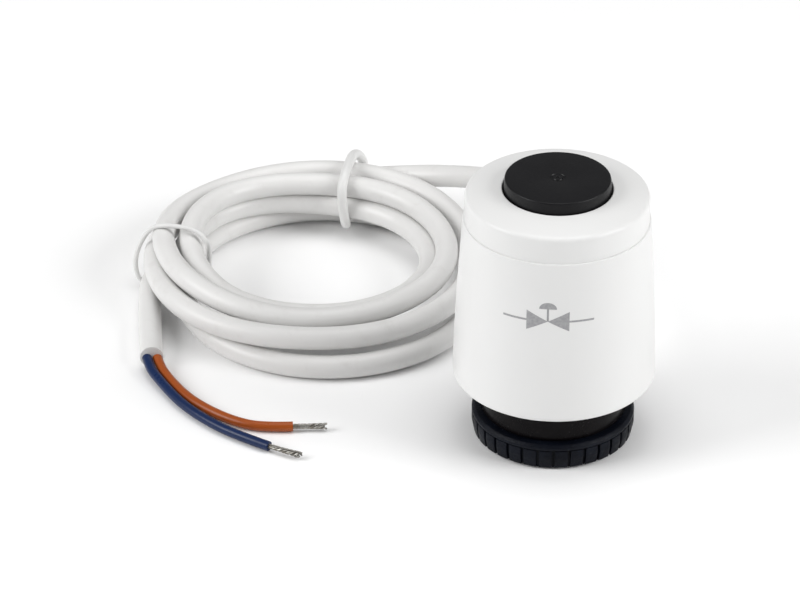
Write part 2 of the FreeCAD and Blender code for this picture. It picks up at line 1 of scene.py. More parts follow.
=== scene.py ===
import bmesh
import bpy
import json
import math
from mathutils import Matrix, Vector


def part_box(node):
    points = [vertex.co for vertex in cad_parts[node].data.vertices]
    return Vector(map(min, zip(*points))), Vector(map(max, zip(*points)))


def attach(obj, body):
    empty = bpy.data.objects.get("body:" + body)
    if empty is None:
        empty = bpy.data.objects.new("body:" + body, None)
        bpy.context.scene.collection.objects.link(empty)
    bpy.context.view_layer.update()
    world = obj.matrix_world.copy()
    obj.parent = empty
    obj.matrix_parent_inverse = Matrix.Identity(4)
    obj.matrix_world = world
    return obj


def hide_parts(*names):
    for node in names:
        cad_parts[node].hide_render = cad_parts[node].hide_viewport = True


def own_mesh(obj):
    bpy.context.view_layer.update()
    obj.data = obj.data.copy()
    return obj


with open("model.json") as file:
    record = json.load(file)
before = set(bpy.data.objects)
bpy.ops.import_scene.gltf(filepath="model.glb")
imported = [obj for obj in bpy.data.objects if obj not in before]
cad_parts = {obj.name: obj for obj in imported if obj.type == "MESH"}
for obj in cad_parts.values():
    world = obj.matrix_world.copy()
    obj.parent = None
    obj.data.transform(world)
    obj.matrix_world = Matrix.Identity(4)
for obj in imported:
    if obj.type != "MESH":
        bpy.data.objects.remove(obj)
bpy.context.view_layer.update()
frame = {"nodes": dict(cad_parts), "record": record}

# ---------------------------------------------------------------------------------------------
# Studio: a pale floor that runs out of sight, a soft white surround and three large soft lights.
# The camera stands a metre away, looking down on the head at about 31 degrees.
# ---------------------------------------------------------------------------------------------
camera_data = bpy.data.cameras.new("camera")
camera_data.sensor_width = 36.0
camera_data.lens = 207.8
camera = bpy.data.objects.new("camera", camera_data)
camera.location = (0.0, -0.8539, 0.5454)
camera.rotation_euler = [math.radians(turn) for turn in (58.978, -0.100, 2.306)]
bpy.context.scene.collection.objects.link(camera)
bpy.context.scene.camera = camera

MODEL_MIDDLE = Vector((-0.03, 0.03, 0.02))


def soft_light(name, place, size, power):
    """A square soft light at place that faces the middle of the model."""
    data = bpy.data.lights.new(name, "AREA")
    data.size = size
    data.energy = power
    light = bpy.data.objects.new(name, data)
    light.location = place
    light.rotation_euler = (MODEL_MIDDLE - Vector(place)).to_track_quat("-Z", "Y").to_euler()
    bpy.context.scene.collection.objects.link(light)


soft_light("left_light", (-0.97, -0.26, 0.62), 0.6, 8.2)
soft_light("right_light", (0.97, -0.28, 0.62), 0.6, 8.4)
soft_light("top_light", (0.05, 0.10, 1.20), 0.8, 4.6)

surround = bpy.data.worlds.new("surround")
surround.use_nodes = True
sky = surround.node_tree.nodes["Background"]
sky.inputs["Color"].default_value = (1.0, 1.0, 1.0, 1.0)
sky.inputs["Strength"].default_value = 0.26
bpy.context.scene.world = surround
bpy.context.scene.view_settings.view_transform = "Standard"


# ---------------------------------------------------------------------------------------------
# Cable: one white two-core PVC cable of 5.2 mm. It leaves the back of the head, comes down in a
# wide bend, lies in four and a quarter loose turns and ends in a short tail with its cores bare.
# ---------------------------------------------------------------------------------------------
class Wire:
    """A shader socket that takes part in plain arithmetic; each operator adds a Math node."""

    def __init__(self, finish, socket):
        self.finish = finish
        self.socket = socket

    def joined(self, operation, first, second):
        """One Math node on two values or wires."""
        return self.finish.node("ShaderNodeMath", {"operation": operation}, {0: first, 1: second})

    def __add__(self, other):
        return self.joined("ADD", self, other)

    def __radd__(self, other):
        return self.joined("ADD", other, self)

    def __mul__(self, other):
        return self.joined("MULTIPLY", self, other)

    def __rmul__(self, other):
        return self.joined("MULTIPLY", other, self)


class Finish:
    """One material: a Principled shader and a short way to add the nodes that feed it."""

    def __init__(self, name, **constants):
        self.material = bpy.data.materials.new(name)
        self.material.use_nodes = True
        self.tree = self.material.node_tree
        self.shader = self.tree.nodes["Principled BSDF"]
        for socket, value in constants.items():
            self.shader.inputs[socket.replace("_", " ")].default_value = value

    def node(self, kind, settings=None, values=None, output=0):
        """Add a node: its type, its settings, then the values or links of its sockets."""
        made = self.tree.nodes.new(kind)
        for name, setting in (settings or {}).items():
            setattr(made, name, setting)
        for key, value in (values or {}).items():
            if isinstance(value, Wire):
                self.tree.links.new(value.socket, made.inputs[key])
            else:
                made.inputs[key].default_value = value
        return Wire(self, made.outputs[output])

    def feed(self, socket, wire):
        """Link a wire to one of the shader's sockets."""
        self.tree.links.new(wire.socket, self.shader.inputs[socket])

    def noise(self, scale, detail, roughness=0.5, stretch=None):
        """Noise from 0 to 1 in object space; stretch squeezes it along an axis."""
        spot = self.node("ShaderNodeTexCoord", output="Object")
        if stretch:
            spot = self.node("ShaderNodeMapping", None, {"Vector": spot, "Scale": stretch})
        return self.node("ShaderNodeTexNoise", None,
                         {"Vector": spot, "Scale": scale, "Detail": detail, "Roughness": roughness})

    def between(self, factor, first, second):
        """A colour between two colours."""
        return self.node("ShaderNodeMix", {"data_type": "RGBA"},
                         {0: factor, 6: first, 7: second}, output=2)

    def ranged(self, wire, low, high, start=0.0, end=1.0):
        """Map a value from low..high onto start..end, clamped."""
        return self.node("ShaderNodeMapRange", None, {"Value": wire, "From Min": low, "From Max": high,
                                                      "To Min": start, "To Max": end})

    def bump(self, height, distance, strength):
        """Raise the surface by height times distance, in metres."""
        self.feed("Normal", self.node("ShaderNodeBump", None,
                                      {"Height": height, "Distance": distance, "Strength": strength}))


def colour(red, green, blue):
    """An opaque colour for a socket."""
    return (red, green, blue, 1.0)


def pvc_finish(name, light, dark, roughness, specular=0.45):
    """Extruded soft PVC: faint cloudiness, drawn skin and a little handling dust."""
    finish = Finish(name, Specular_IOR_Level=specular)
    clouds = finish.noise(90.0, 4.0)
    specks = finish.noise(1500.0, 2.0)
    dust = finish.ranged(finish.noise(260.0, 5.0, 0.6), 0.56, 0.78)
    stain = finish.ranged(clouds * 0.7 + dust * 0.6, 0.3, 0.8)
    finish.feed("Base Color", finish.between(stain, light, dark))
    finish.feed("Roughness", finish.ranged(clouds + specks * 0.4, 0.4, 1.0, roughness - 0.06, roughness + 0.10))
    finish.bump(specks * 0.6 + clouds * 0.8, 0.00005, 0.5)
    return finish.material


def smooth_curve(name, points, radius, around=8):
    """A round cord on a quadratic NURBS whose control points are given in metres."""
    data = bpy.data.curves.new(name, "CURVE")
    data.dimensions = "3D"
    data.bevel_depth = radius
    data.bevel_resolution = around
    data.resolution_u = 10
    data.use_fill_caps = True
    spline = data.splines.new("NURBS")
    spline.points.add(len(points) - 1)
    for point, place in zip(spline.points, points):
        point.co = (place[0], place[1], place[2], 1.0)
    spline.order_u = 3
    spline.use_endpoint_u = True
    piece = bpy.data.objects.new(name, data)
    bpy.context.scene.collection.objects.link(piece)
    return piece


MM = 0.001
CABLE = 0.0052
RESTING = 2.6
COIL_CENTRE = Vector((-0.0565, 0.0560, 0.0))
LEAD_ROUTE = [(0.0, 0.0400, 0.0250), (0.0, 0.0480, 0.0250), (-0.0070, 0.0680, 0.0225),
              (-0.0225, 0.0860, 0.0141), (-0.0410, 0.0945, 0.0086)]
TAIL_ROUTE = [(-0.0821, 0.0708, 0.0026), (-0.0864, 0.0652, 0.0030), (-0.0906, 0.0590, 0.0036),
              (-0.0926, 0.0520, 0.0036), (-0.0922, 0.0445, 0.0030), (-0.0912, 0.0330, 0.0026),
              (-0.0898, 0.0209, 0.0026)]
# The turns: reach from the coil's centre and height, in mm, at each eighth of a turn from the back
EIGHTHS = [(38.0, 7.6), (37.2, 6.0), (35.3, 8.3), (35.1, 8.0), (34.7, 8.3), (36.7, 8.0),
           (37.3, 8.2), (36.8, 11.1), (34.2, 12.0), (34.5, 10.8), (33.4, 13.0), (30.3, 11.4),
           (29.4, 9.9), (30.8, 10.5), (31.6, 10.8), (29.9, 12.0), (27.6, 12.2), (28.9, 12.8),
           (27.2, 12.8), (25.7, 9.2), (24.35, 8.0), (26.1, 7.8), (27.8, 7.4), (27.6, 7.3),
           (27.6, 7.1), (30.0, 7.9), (29.4, 6.9), (32.2, 2.8), (37.5, 2.6), (40.0, 2.6),
           (38.8, 2.6), (35.0, 2.6), (32.0, 2.9), (29.9, 2.6)]
STEPS_PER_EIGHTH = 2


def eased(before, first, second, after, share):
    """Smooth value between first and second that also heeds its neighbours."""
    rise_in = (second - before) / 2.0
    rise_out = (after - first) / 2.0
    square = share * share
    cube = square * share
    return (first * (2 * cube - 3 * square + 1) + rise_in * (cube - 2 * square + share)
            + second * (3 * square - 2 * cube) + rise_out * (cube - square))


def coil_points():
    """The coil's turns: a control point every few degrees, counter-clockwise from the back.

    The spline cuts inside its control points, so they stand a hair wider than the strand. None is
    lower than RESTING, the height in mm of the middle of a cable that lies on the table.
    """
    step = math.pi / 4.0 / STEPS_PER_EIGHTH
    widen = 1.0 / math.cos(step / 2.0)
    last = len(EIGHTHS) - 1
    points = []
    for count in range(1, last * STEPS_PER_EIGHTH + 1):
        eighth = min(count // STEPS_PER_EIGHTH, last - 1)
        share = count / STEPS_PER_EIGHTH - eighth
        around = [EIGHTHS[min(max(eighth + offset, 0), last)] for offset in (-1, 0, 1, 2)]
        reach = eased(*[value[0] for value in around], share) * widen * MM
        height = max(eased(*[value[1] for value in around], share), RESTING) * MM
        turn = math.pi / 2.0 + count * step
        points.append(COIL_CENTRE + Vector((reach * math.cos(turn), reach * math.sin(turn), height)))
    return points


cable = smooth_curve("cable", LEAD_ROUTE + coil_points() + TAIL_ROUTE, CABLE / 2.0, around=14)
cable.data.materials.append(
    pvc_finish("white_pvc", colour(0.745, 0.74, 0.73), colour(0.70, 0.692, 0.68), 0.36))
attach(cable, "head")
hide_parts("cable_lead", "cable_coil", "cable_tail")

# ---------------------------------------------------------------------------------------------
# Cores: the cable's two copper cores in their own blue and brown PVC. They come side by side out
# of its cut end, sink to the table and spread a little apart.
# ---------------------------------------------------------------------------------------------
CORE = 0.0022
BLUE_ROUTE = [(-0.0914, 0.0232, 0.0026), (-0.0902, 0.0176, 0.0021), (-0.0874, 0.0128, 0.0016),
              (-0.0825, 0.0049, 0.0012), (-0.0767, -0.0018, 0.0012), (-0.0696, -0.0078, 0.0012),
              (-0.0614, -0.0125, 0.0012)]
BROWN_ROUTE = [(-0.0891, 0.0232, 0.0026), (-0.0880, 0.0187, 0.0018), (-0.0849, 0.0132, 0.0012),
               (-0.0806, 0.0065, 0.0012), (-0.0754, 0.0013, 0.0012), (-0.0694, -0.0029, 0.0012),
               (-0.0636, -0.0049, 0.0012), (-0.0567, -0.0043, 0.0012)]
core_blue = smooth_curve("blue_core", BLUE_ROUTE, CORE / 2.0)
core_blue.data.materials.append(
    pvc_finish("blue_pvc", colour(0.005, 0.019, 0.078), colour(0.003, 0.012, 0.052), 0.30, 0.30))
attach(core_blue, "head")
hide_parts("core_blue")
core_brown = smooth_curve("brown_core", BROWN_ROUTE, CORE / 2.0)
core_brown.data.materials.append(
    pvc_finish("brown_pvc", colour(0.35, 0.075, 0.011), colour(0.25, 0.050, 0.008), 0.30, 0.30))
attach(core_brown, "head")
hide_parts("core_brown")

# ---------------------------------------------------------------------------------------------
# Bare ends: each core's tinned copper strands, twisted together by hand over the few millimetres
# where the insulation is stripped off. One strand runs down the middle of the others.
# ---------------------------------------------------------------------------------------------
STRAND_COUNT = 8
STRAND_RADIUS = 0.00019
STRAND_REACH = 0.00040
STRAND_STEPS = 24
UNEVEN_ENDS = 0.05


def strand_bundle(name, start, end, turns, splay):
    """Fine strands that wind round the line from start to end and open a little at the tip."""
    data = bpy.data.curves.new(name, "CURVE")
    data.dimensions = "3D"
    data.bevel_depth = STRAND_RADIUS
    data.bevel_resolution = 3
    data.use_fill_caps = True
    start, end = Vector(start), Vector(end)
    along = (end - start).normalized()
    side = along.cross(Vector((0, 0, 1))).normalized()
    upward = side.cross(along)
    for strand in range(STRAND_COUNT):
        centre_strand = strand == STRAND_COUNT - 1
        spline = data.splines.new("NURBS")
        spline.points.add(STRAND_STEPS)
        length = (end - start).length * (1.0 - UNEVEN_ENDS * (strand % 3))
        for step in range(STRAND_STEPS + 1):
            share = step / STRAND_STEPS
            turn = 2.0 * math.pi * (strand / (STRAND_COUNT - 1) + turns * share)
            reach = 0.0 if centre_strand else STRAND_REACH + splay * share ** 3
            place = start + along * length * share
            place += (side * math.cos(turn) + upward * math.sin(turn)) * reach
            spline.points[step].co = (place.x, place.y, place.z, 1.0)
        spline.order_u = 3
        spline.use_endpoint_u = True
    piece = bpy.data.objects.new(name, data)
    bpy.context.scene.collection.objects.link(piece)
    return piece


tinned = Finish("tinned_copper", Metallic=1.0, Specular_IOR_Level=0.5)
tarnish = tinned.noise(900.0, 4.0)
tinned.feed("Base Color", tinned.between(tinned.ranged(tarnish, 0.40, 0.66),
                                         colour(0.40, 0.39, 0.365), colour(0.20, 0.18, 0.15)))
tinned.feed("Roughness", tinned.ranged(tarnish, 0.3, 0.7, 0.26, 0.46))
blue_tip = strand_bundle("blue_strands", (-0.0622, -0.0121, 0.0012), (-0.0543, -0.0158, 0.0012), 1.6,
                         0.00022)
brown_tip = strand_bundle("brown_strands", (-0.0574, -0.0043, 0.0012), (-0.0493, -0.0038, 0.0012), 1.4,
                          0.00018)
for tip, node in ((blue_tip, "strands_blue"), (brown_tip, "strands_brown")):
    tip.data.materials.append(tinned.material)
    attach(tip, "head")
    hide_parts(node)

# ---------------------------------------------------------------------------------------------
# Ties: two short lengths of soft white tie that hold the turns together, a thick one bent tight
# round the back of the coil and a thin one slung loosely round its left side.
# ---------------------------------------------------------------------------------------------
THICK_TIE = 0.0023
THIN_TIE = 0.0011


def coil_place(turn_degrees, reach, height):
    """A point of the coil in metres, from its angle in degrees and its reach and height in mm."""
    turn = math.radians(turn_degrees)
    return COIL_CENTRE + Vector((reach * math.cos(turn), reach * math.sin(turn), height)) * MM


thick_points = [(75.5, 28.2, 2.4), (73.4, 25.4, 3.2), (73.0, 23.7, 6.0), (74.0, 23.4, 9.6),
                (74.8, 23.9, 13.4), (75.2, 26.6, 15.7), (76.0, 30.5, 15.8), (77.0, 35.2, 15.7),
                (77.5, 39.4, 14.6), (77.0, 42.8, 12.4), (76.5, 44.8, 9.2), (76.0, 43.6, 5.2),
                (76.4, 40.0, 2.0), (77.0, 36.4, 1.15)]
thick_tie = smooth_curve("thick_tie", [coil_place(*point) for point in thick_points], THICK_TIE / 2.0)
thin_points = [(182.0, 34.5, 0.6), (184.0, 29.0, 0.6), (185.0, 25.0, 0.7), (186.0, 23.1, 3.0),
               (187.0, 22.9, 7.5), (189.0, 22.9, 11.8), (190.0, 23.2, 14.4), (186.5, 24.6, 15.8),
               (183.0, 27.2, 16.5), (181.0, 30.2, 16.4), (180.0, 33.4, 16.3), (178.0, 35.9, 15.1),
               (176.5, 38.0, 12.2), (178.0, 39.4, 9.4), (180.0, 40.0, 7.0), (181.0, 39.8, 4.2),
               (181.5, 38.8, 2.0), (182.0, 36.8, 0.6), (182.5, 32.5, 0.6)]
thin_tie = smooth_curve("thin_tie", [coil_place(*point) for point in thin_points], THIN_TIE / 2.0)
tie_pvc = pvc_finish("tie_pvc", colour(0.74, 0.74, 0.73), colour(0.69, 0.69, 0.68), 0.36)
for tie, node in ((thick_tie, "coil_tie_right"), (thin_tie, "coil_tie_left")):
    tie.data.materials.append(tie_pvc)
    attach(tie, "head")
    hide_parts(node)


# ---------------------------------------------------------------------------------------------
# Strain relief: a soft tapered boot moulded on the cable where it leaves the back of the housing,
# with four rings cut round it so that it bends with the cable.
# ---------------------------------------------------------------------------------------------
LEAST_TURN = 0.02
CREASE = 32.0


def softened(corners, steps):
    """Round each corner of a closed outline: corners are (across, up, radius) in mm."""
    outline = []
    for index, (across, up, radius) in enumerate(corners):
        here = Vector((across, up))
        before = Vector(corners[index - 1][:2])
        after = Vector(corners[(index + 1) % len(corners)][:2])
        way_in = (here - before).normalized()
        way_out = (after - here).normalized()
        half_turn = way_in.angle(way_out) / 2.0
        if radius <= 0.0 or half_turn < LEAST_TURN:
            outline.append(here)
            continue
        reach = radius * math.tan(half_turn)
        start = here - way_in * reach
        end = here + way_out * reach
        for step in range(steps + 1):
            share = step / steps
            outline.append(start.lerp(here, share).lerp(here.lerp(end, share), share))
    return outline


def turned_mesh(outline, steps):
    """A bmesh spun about Z from a closed outline of (across, up) points in mm."""
    mesh = bmesh.new()
    ring = [mesh.verts.new((point[0] * MM, 0.0, point[1] * MM)) for point in outline]
    for first, second in zip(ring, ring[1:] + ring[:1]):
        mesh.edges.new((first, second))
    bmesh.ops.spin(mesh, geom=mesh.verts[:] + mesh.edges[:], cent=(0, 0, 0), axis=(0, 0, 1),
                   angle=2.0 * math.pi, steps=steps, use_merge=True, use_duplicate=False)
    bmesh.ops.remove_doubles(mesh, verts=mesh.verts[:], dist=1e-7)
    bmesh.ops.recalc_face_normals(mesh, faces=mesh.faces[:])
    return mesh


def finished(name, mesh, material, body, slot, *replaced):
    """Turn a bmesh into a piece with its material, its body and the nodes it replaces; the slot is not used."""
    data = bpy.data.meshes.new(name)
    mesh.to_mesh(data)
    mesh.free()
    for face in data.polygons:
        face.use_smooth = True
    data.set_sharp_from_angle(angle=math.radians(CREASE))
    piece = bpy.data.objects.new(name, data)
    piece.data.materials.append(material)
    bpy.context.scene.collection.objects.link(piece)
    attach(piece, body)
    if replaced:
        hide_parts(*replaced)
    return piece


BOOT_START = 22.0
BOOT_LENGTH = 20.0
BOOT_REACH = 4.9
BOOT_TAPER = 1.5
BOOT_RINGS = 4
FIRST_RING = 25.4
RING_SPACING = 3.7
CABLE_EXIT_HEIGHT = 25.0
boot_profile = [(2.62, 17.7, 0.0), (4.8, 17.7, 0.3), (4.8, 19.1, 0.3), (3.9, 19.1, 0.0),
                (3.9, BOOT_START, 0.0), (BOOT_REACH, BOOT_START, 0.35)]
for ring in range(BOOT_RINGS):
    for offset, depth in ((0.0, 0.0), (0.35, 0.75), (1.25, 0.75), (1.6, 0.0)):
        along = FIRST_RING + RING_SPACING * ring + offset
        reach = BOOT_REACH - BOOT_TAPER * (along - BOOT_START) / BOOT_LENGTH - depth
        boot_profile.append((reach, along, 0.22))
boot_profile += [(3.4, BOOT_START + BOOT_LENGTH, 0.7), (2.62, BOOT_START + BOOT_LENGTH, 0.1)]
boot_mesh = turned_mesh(softened(boot_profile, 3), 64)
bmesh.ops.rotate(boot_mesh, verts=boot_mesh.verts[:], cent=(0, 0, 0),
                 matrix=Matrix.Rotation(math.radians(-90), 3, "X"))
bmesh.ops.translate(boot_mesh, verts=boot_mesh.verts[:], vec=(0.0, 0.0, CABLE_EXIT_HEIGHT * MM))
boot = finished("strain_relief", boot_mesh, tie_pvc, "head", "cable_white", "cable_grommet")

# ---------------------------------------------------------------------------------------------
# Housing shell: the white tapered sleeve, injection moulded in a glossy ABS, open at both ends.
# Its wall bows out very slightly towards the foot, and its foot is rounded.
# ---------------------------------------------------------------------------------------------
SHELL_FOOT = 14.75
SHELL_TOP = 52.94
SHELL_REACH = 22.0
TAPER_START = 15.8
TAPER = 1.85
TAPER_BOW = 1.45
WALL_START = 17.2
WALL_STEPS = 10


def shell_reach(height):
    """Outer radius of the housing at a height, in mm."""
    share = max(height - TAPER_START, 0.0) / (SHELL_TOP - TAPER_START)
    return SHELL_REACH - TAPER * share ** TAPER_BOW


def white_finish(name, shade):
    """White ABS: an even colour with a very faint cloud, fine mould texture and soft gloss."""
    finish = Finish(name, Specular_IOR_Level=0.5)
    clouds = finish.noise(35.0, 4.0)
    grain = finish.noise(2600.0, 2.0)
    flow = finish.noise(60.0, 3.0, 0.55, (1.0, 1.0, 0.15))
    finish.feed("Base Color", finish.between(finish.ranged(clouds * 0.6 + flow * 0.4, 0.3, 0.7),
                                             colour(shade, shade, shade * 0.995),
                                             colour(shade * 0.965, shade * 0.965, shade * 0.955)))
    finish.feed("Roughness", finish.ranged(flow + grain * 0.3, 0.4, 0.9, 0.30, 0.40))
    finish.bump(grain * 0.5 + flow * 0.9, 0.00003, 0.35)
    return finish.material


white_abs = white_finish("white_abs", 0.79)
wall_heights = [SHELL_TOP - (SHELL_TOP - WALL_START) * step / WALL_STEPS for step in range(1, WALL_STEPS)]
shell_profile = [(20.35, SHELL_FOOT, 0.2), (20.35, 18.0, 0.1), (18.9, 18.0, 0.1), (18.9, 20.0, 0.2),
                 (20.0, 21.0, 0.3), (18.5, SHELL_TOP, 0.1), (shell_reach(SHELL_TOP), SHELL_TOP, 0.35)]
shell_profile += [(shell_reach(height), height, 0.0) for height in wall_heights]
shell_profile += [(SHELL_REACH, 16.6, 0.0), (SHELL_REACH, SHELL_FOOT, 1.35)]
shell_mesh = turned_mesh(softened(shell_profile, 6), 160)
finished("white_shell", shell_mesh, white_abs, "head", "white_plastic", "housing_shell")

# ---------------------------------------------------------------------------------------------
# Top cap: a white cap snapped into the shell, set in by a hair so that the shell's rim shows as a
# fine ledge. Its top is a shallow cone with a round opening for the indicator.
# ---------------------------------------------------------------------------------------------
cap_profile = [(11.85, 54.5, 0.1), (13.35, 54.5, 0.1), (13.35, 57.9, 0.2), (16.95, 57.2, 0.2),
               (16.95, 51.2, 0.1), (18.35, 51.2, 0.1), (18.35, SHELL_TOP, 0.0), (19.80, SHELL_TOP, 0.0),
               (19.80, 58.96, 1.25), (11.85, 60.25, 0.3)]
cap_mesh = turned_mesh(softened(cap_profile, 6), 160)
finished("white_cap", cap_mesh, white_abs, "head", "white_plastic", "top_cap")

# ---------------------------------------------------------------------------------------------
# Position indicator: the black moulded button in the cap's opening, with a finely textured flat
# top and a moulding mark at its centre. It rises with the stroke.
# ---------------------------------------------------------------------------------------------
def black_finish(name, light, dark, roughness, grain_scale, grain_depth, specular):
    """Dark moulded plastic with an eroded grain: finely matt, a little polished where it is rubbed."""
    finish = Finish(name, Specular_IOR_Level=specular)
    grain = finish.noise(grain_scale, 3.0, 0.6)
    clouds = finish.noise(180.0, 4.0)
    mottle = finish.ranged(clouds * 0.6 + grain * 0.4, 0.36, 0.66)
    finish.feed("Base Color", finish.between(mottle, light, dark))
    finish.feed("Roughness", finish.ranged(clouds + grain * 0.6, 0.5, 1.1, roughness - 0.05, roughness + 0.12))
    finish.bump(grain, grain_depth, 0.7)
    return finish.material


indicator_profile = [(0.0, 48.5, 0.0), (4.0, 48.5, 0.2), (4.0, 60.7, 0.0), (10.0, 60.7, 0.4),
                     (10.0, 54.0, 0.2), (11.5, 54.0, 0.3), (11.5, 60.25, 0.0), (11.35, 62.7, 0.4),
                     (1.75, 62.7, 0.08), (1.62, 62.5, 0.08), (1.10, 62.5, 0.08), (0.95, 62.78, 0.12),
                     (0.42, 62.78, 0.1), (0.30, 62.45, 0.05), (0.0, 62.45, 0.0)]
indicator_mesh = turned_mesh(softened(indicator_profile, 4), 128)
indicator_black = black_finish("indicator_black", colour(0.006, 0.006, 0.007), colour(0.003, 0.003, 0.004),
                               0.33, 3200.0, 0.00004, 0.24)
finished("indicator_button", indicator_mesh, indicator_black, "lift", "black_plastic", "position_indicator")

# ---------------------------------------------------------------------------------------------
# Valve symbol: a plain grey mark, pad-printed on the front of the shell. It is the drawing symbol
# of a valve in a pipe: two triangles tip to tip, a stem and a half-round head.
# ---------------------------------------------------------------------------------------------
MARK_HEIGHT = 39.6
MARK_TURN = -94.0
MARK_CUTS = 3
HEAD_STEPS = 16
INK_PROUD = 0.025
INK_THICKNESS = 0.00003


def mark_mesh():
    """Flat outlines of the symbol in mm, cut fine enough to follow the wall."""
    mesh = bmesh.new()
    shapes = [[(-4.6, -2.3), (-4.6, 2.3), (0.0, 0.0)],
              [(4.6, 2.3), (4.6, -2.3), (0.0, 0.0)],
              [(-0.22, 0.0), (-0.22, 2.9), (0.22, 2.9), (0.22, 0.0)],
              [(-10.0, -0.22), (-10.0, 0.22), (-4.6, 0.22), (-4.6, -0.22)],
              [(4.6, -0.22), (4.6, 0.22), (10.0, 0.22), (10.0, -0.22)]]
    head = [(1.9 * math.cos(math.pi * step / HEAD_STEPS), 2.9 + 1.5 * math.sin(math.pi * step / HEAD_STEPS))
            for step in range(HEAD_STEPS + 1)]
    for shape in shapes + [head]:
        mesh.faces.new([mesh.verts.new((x * MM, y * MM, 0.0)) for x, y in shape])
    bmesh.ops.recalc_face_normals(mesh, faces=mesh.faces[:])
    bmesh.ops.triangulate(mesh, faces=mesh.faces[:])
    for cut in range(MARK_CUTS):
        bmesh.ops.subdivide_edges(mesh, edges=mesh.edges[:], cuts=1, use_grid_fill=True)
    return mesh


symbol_mesh = mark_mesh()
for vert in symbol_mesh.verts:
    height = MARK_HEIGHT + vert.co.y / MM
    reach = (shell_reach(height) + INK_PROUD) * MM
    turn = math.radians(MARK_TURN) + vert.co.x / reach
    vert.co = (reach * math.cos(turn), reach * math.sin(turn), height * MM)
bmesh.ops.recalc_face_normals(symbol_mesh, faces=symbol_mesh.faces[:])
bmesh.ops.solidify(symbol_mesh, geom=symbol_mesh.faces[:], thickness=INK_THICKNESS)
ink = Finish("print_grey", Specular_IOR_Level=0.5)
speckle = ink.noise(1800.0, 3.0)
ink.feed("Base Color", ink.between(ink.ranged(speckle, 0.35, 0.7),
                                   colour(0.30, 0.30, 0.31), colour(0.38, 0.38, 0.39)))
ink.feed("Roughness", ink.ranged(speckle, 0.3, 0.7, 0.35, 0.5))
finished("valve_symbol", symbol_mesh, ink.material, "head", "white_plastic")

# ---------------------------------------------------------------------------------------------
# Base socket: the smooth dark moulding under the shell that carries the nut on its neck. Six
# narrow snap notches are cut in its skirt.
# ---------------------------------------------------------------------------------------------
SKIRT = 16.0
NOTCHES = 6
NOTCH_LOW = 11.4 * MM
NOTCH_HIGH = 14.4 * MM
NOTCH_DEPTH = 0.6
NOTCH_HALF_ANGLE = 2.5
STEP_GUARD = 0.01
socket_profile = [(9.6, 3.8, 0.15), (12.4, 3.8, 0.1), (12.4, 4.0, 0.0), (11.5, 4.0, 0.0), (11.5, 4.85, 0.0),
                  (12.4, 4.85, 0.0), (12.4, 6.5, 0.2), (SKIRT, 6.5, 0.35), (SKIRT, 15.2, 0.3),
                  (20.2, 15.2, 0.2), (20.2, 17.2, 0.1), (14.4, 17.2, 0.1), (14.4, 11.0, 0.3),
                  (5.8, 11.0, 0.1), (5.8, 9.6, 0.1), (4.06, 9.6, 0.0), (4.06, 8.9, 0.1), (9.6, 8.9, 0.2)]
socket_mesh = turned_mesh(softened(socket_profile, 3), 144)
for height in (NOTCH_LOW, NOTCH_HIGH):
    whole = socket_mesh.verts[:] + socket_mesh.edges[:] + socket_mesh.faces[:]
    bmesh.ops.bisect_plane(socket_mesh, geom=whole, plane_co=(0, 0, height), plane_no=(0, 0, 1))


def notch_face(face):
    """True for the outer faces of the skirt where a snap notch is cut."""
    middle = face.calc_center_median()
    outer = abs(middle.xy.length - SKIRT * MM) < 0.1 * MM
    turn = (math.degrees(math.atan2(middle.y, middle.x)) + STEP_GUARD) % (360.0 / NOTCHES)
    near = min(turn, 360.0 / NOTCHES - turn) < NOTCH_HALF_ANGLE
    return near and outer and NOTCH_LOW < middle.z < NOTCH_HIGH


cut_away = [face for face in socket_mesh.faces if notch_face(face)]
pressed = bmesh.ops.extrude_face_region(socket_mesh, geom=cut_away)
for vert in [item for item in pressed["geom"] if isinstance(item, bmesh.types.BMVert)]:
    vert.co.xy *= (SKIRT - NOTCH_DEPTH) / SKIRT
bmesh.ops.delete(socket_mesh, geom=cut_away, context="FACES_ONLY")
bmesh.ops.recalc_face_normals(socket_mesh, faces=socket_mesh.faces[:])
socket_black = black_finish("socket_black", colour(0.0045, 0.0035, 0.0040), colour(0.0025, 0.0020, 0.0025),
                            0.20, 1500.0, 0.00001, 0.08)
finished("socket_moulding", socket_mesh, socket_black, "head", "socket_plastic", "base_socket")

# ---------------------------------------------------------------------------------------------
# Ring nut: the black nut that is screwed on the valve by hand, moulded in glass-filled nylon with
# grip blocks all round, a bevelled foot and an M30 x 1.5 thread inside.
# ---------------------------------------------------------------------------------------------
GRIPS = 32
STEPS_PER_GRIP = 5
GRIP_LOW = 0.5
GRIP_HIGH = 4.75
GROOVE_REACH = 17.0
GRIP_REACH = 17.75
GRIP_EDGE = 0.12
SHARP_ANGLE = 50.0
nut_profile = [(15.05, 0.35, 0.0), (15.5, 0.0, 0.1), (16.3, 0.0, 0.2), (16.55, GRIP_LOW, 0.1),
               (GROOVE_REACH, 2.9, 0.2), (GROOVE_REACH, GRIP_HIGH, 0.0), (GRIP_REACH, 4.95, 0.12),
               (GRIP_REACH, 5.6, 0.3), (17.1, 6.2, 0.3), (12.5, 6.2, 0.15), (12.5, 4.9, 0.1),
               (14.7, 4.9, 0.1), (14.7, 4.3, 0.0), (15.05, 3.9, 0.0)]
nut_mesh = turned_mesh(softened(nut_profile, 2), GRIPS * STEPS_PER_GRIP)
grip_turn = 2.0 * math.pi / GRIPS


